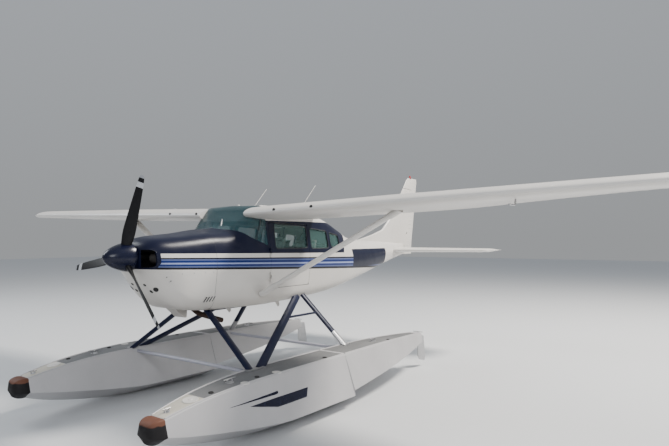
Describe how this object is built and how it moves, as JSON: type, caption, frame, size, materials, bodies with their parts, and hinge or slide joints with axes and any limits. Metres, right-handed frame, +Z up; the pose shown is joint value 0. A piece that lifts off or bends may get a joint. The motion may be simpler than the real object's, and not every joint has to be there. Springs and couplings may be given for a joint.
{
  "type": "floatplane",
  "caption": "High-wing piston floatplane on twin floats, with a turning propeller, opening cabin doors, moving flaps, ailerons, elevator, rudder and water rudders.",
  "frame": {"origin": "on the floor between the two keels, at the middle of the overall length and span", "axes": "+X towards the aircraft's left wing tip, +Y towards the tail, +Z up"},
  "size_m": [10.92, 9.2, 3.722],
  "materials": {
    "white_paint": "glossy white paint with blue stripes",
    "navy_paint": "glossy dark navy paint",
    "wing_skin": "white paint on riveted aluminium sheet",
    "float_skin": "light grey paint on riveted aluminium sheet",
    "strut_blue": "navy blue paint on streamlined tube",
    "engine_iron": "dark engine metal",
    "exhaust_steel": "heat-browned steel",
    "propeller_black": "black blades with pale tip bands",
    "window_glass": "clear tinted acrylic",
    "dark_trim": "matte dark trim",
    "seat_fabric": "woven seat cloth",
    "bow_rubber": "black moulded rubber"
  },
  "bodies": {
    "root": {"cowl_upper": "navy_paint", "cowl_lower": "white_paint", "engine": "engine_iron", "exhaust_pipe": "exhaust_steel", "fuselage_front": "white_paint", "belly_pan": "white_paint", "cabin_side_left": "white_paint", "cabin_side_right": "white_paint", "cabin_roof": "white_paint", "windshield": "window_glass", "tailcone": "wing_skin", "window_mid_left": "window_glass", "window_rear_left": "window_glass", "window_front_right": "window_glass", "window_rear_right": "window_glass", "instrument_panel": "dark_trim", "seat_front_left": "seat_fabric", "seat_front_right": "seat_fabric", "seat_mid_left": "seat_fabric", "seat_mid_right": "seat_fabric", "seat_rear": "seat_fabric", "wing_left": "wing_skin", "wing_strut_left": "white_paint", "antenna_left": "white_paint", "float_left": "float_skin", "bumper_left": "bow_rubber", "float_strut_front_left": "strut_blue", "float_strut_diagonal_left": "strut_blue", "float_strut_rear_left": "strut_blue", "wing_right": "wing_skin", "wing_strut_right": "white_paint", "antenna_right": "white_paint", "float_right": "float_skin", "bumper_right": "bow_rubber", "float_strut_front_right": "strut_blue", "float_strut_diagonal_right": "strut_blue", "float_strut_rear_right": "strut_blue", "stabilizer": "wing_skin", "fin": "wing_skin", "spreader_bar_front": "float_skin", "spreader_bar_rear": "float_skin"},
    "propeller": {"spinner": "navy_paint", "propeller": "propeller_black"},
    "aileron_left": {"aileron_left": "wing_skin"},
    "aileron_right": {"aileron_right": "wing_skin"},
    "flap_left": {"flap_left": "wing_skin"},
    "flap_right": {"flap_right": "wing_skin"},
    "elevator": {"elevator": "wing_skin"},
    "rudder": {"rudder": "wing_skin"},
    "door_left": {"door_left": "white_paint", "window_door_left": "window_glass"},
    "cargo_door_front": {"cargo_door_front": "white_paint", "window_cargo_front": "window_glass"},
    "cargo_door_rear": {"cargo_door_rear": "white_paint", "window_cargo_rear": "window_glass"},
    "water_rudder_left": {"water_rudder_left": "float_skin"},
    "water_rudder_right": {"water_rudder_right": "float_skin"}
  },
  "joints": [
    {"name": "propeller", "type": "hinge", "parent": "root", "child": "propeller", "pos_m": [0, -3.764, 2.1], "axis": [0, 1, 0], "continuous": true},
    {"name": "aileron_left", "type": "hinge", "parent": "root", "child": "aileron_left", "pos_m": [3.077, -0.81051, 2.73645], "axis": [0.9957, -0.0781, 0.0508], "range_deg": [-14.5, 21]},
    {"name": "aileron_right", "type": "hinge", "parent": "root", "child": "aileron_right", "pos_m": [-3.077, -0.81051, 2.73645], "axis": [0.9957, 0.0781, -0.0508], "range_deg": [-21, 14.5]},
    {"name": "flap_left", "type": "hinge", "parent": "root", "child": "flap_left", "pos_m": [0.639, -0.84979, 2.66696], "axis": [0.9996, 0, 0.0294], "range_deg": [-40, 0]},
    {"name": "flap_right", "type": "hinge", "parent": "root", "child": "flap_right", "pos_m": [-0.639, -0.84979, 2.66696], "axis": [0.9996, 0, -0.0294], "range_deg": [-40, 0]},
    {"name": "elevator", "type": "hinge", "parent": "root", "child": "elevator", "pos_m": [0, 3.86, 2.07], "axis": [1, 0, 0], "range_deg": [-17, 21]},
    {"name": "rudder", "type": "hinge", "parent": "root", "child": "rudder", "pos_m": [0, 3.945, 2.1], "axis": [0, 0.2741, 0.9617], "range_deg": [-24, 24]},
    {"name": "door_left", "type": "hinge", "parent": "root", "child": "door_left", "pos_m": [0.622, -1.6015, 1.965], "axis": [0, 0, -1], "range_deg": [0, 75]},
    {"name": "cargo_door_front", "type": "hinge", "parent": "root", "child": "cargo_door_front", "pos_m": [-0.622, -1.1365, 1.965], "axis": [0, 0, 1], "range_deg": [0, 90]},
    {"name": "cargo_door_rear", "type": "hinge", "parent": "root", "child": "cargo_door_rear", "pos_m": [-0.58556, 0.0765, 1.965], "axis": [0, 0, -1], "range_deg": [0, 90]},
    {"name": "water_rudder_left", "type": "hinge", "parent": "root", "child": "water_rudder_left", "pos_m": [1.3, 1.745, 0.4], "axis": [0, 0, 1], "range_deg": [-30, 30]},
    {"name": "water_rudder_right", "type": "hinge", "parent": "root", "child": "water_rudder_right", "pos_m": [-1.3, 1.745, 0.4], "axis": [0, 0, 1], "range_deg": [-30, 30]}
  ],
  "couplings": [
    {"joint": "aileron_right", "follows": "aileron_left", "ratio": -1},
    {"joint": "flap_right", "follows": "flap_left", "ratio": 1},
    {"joint": "water_rudder_right", "follows": "water_rudder_left", "ratio": 1}
  ]
}
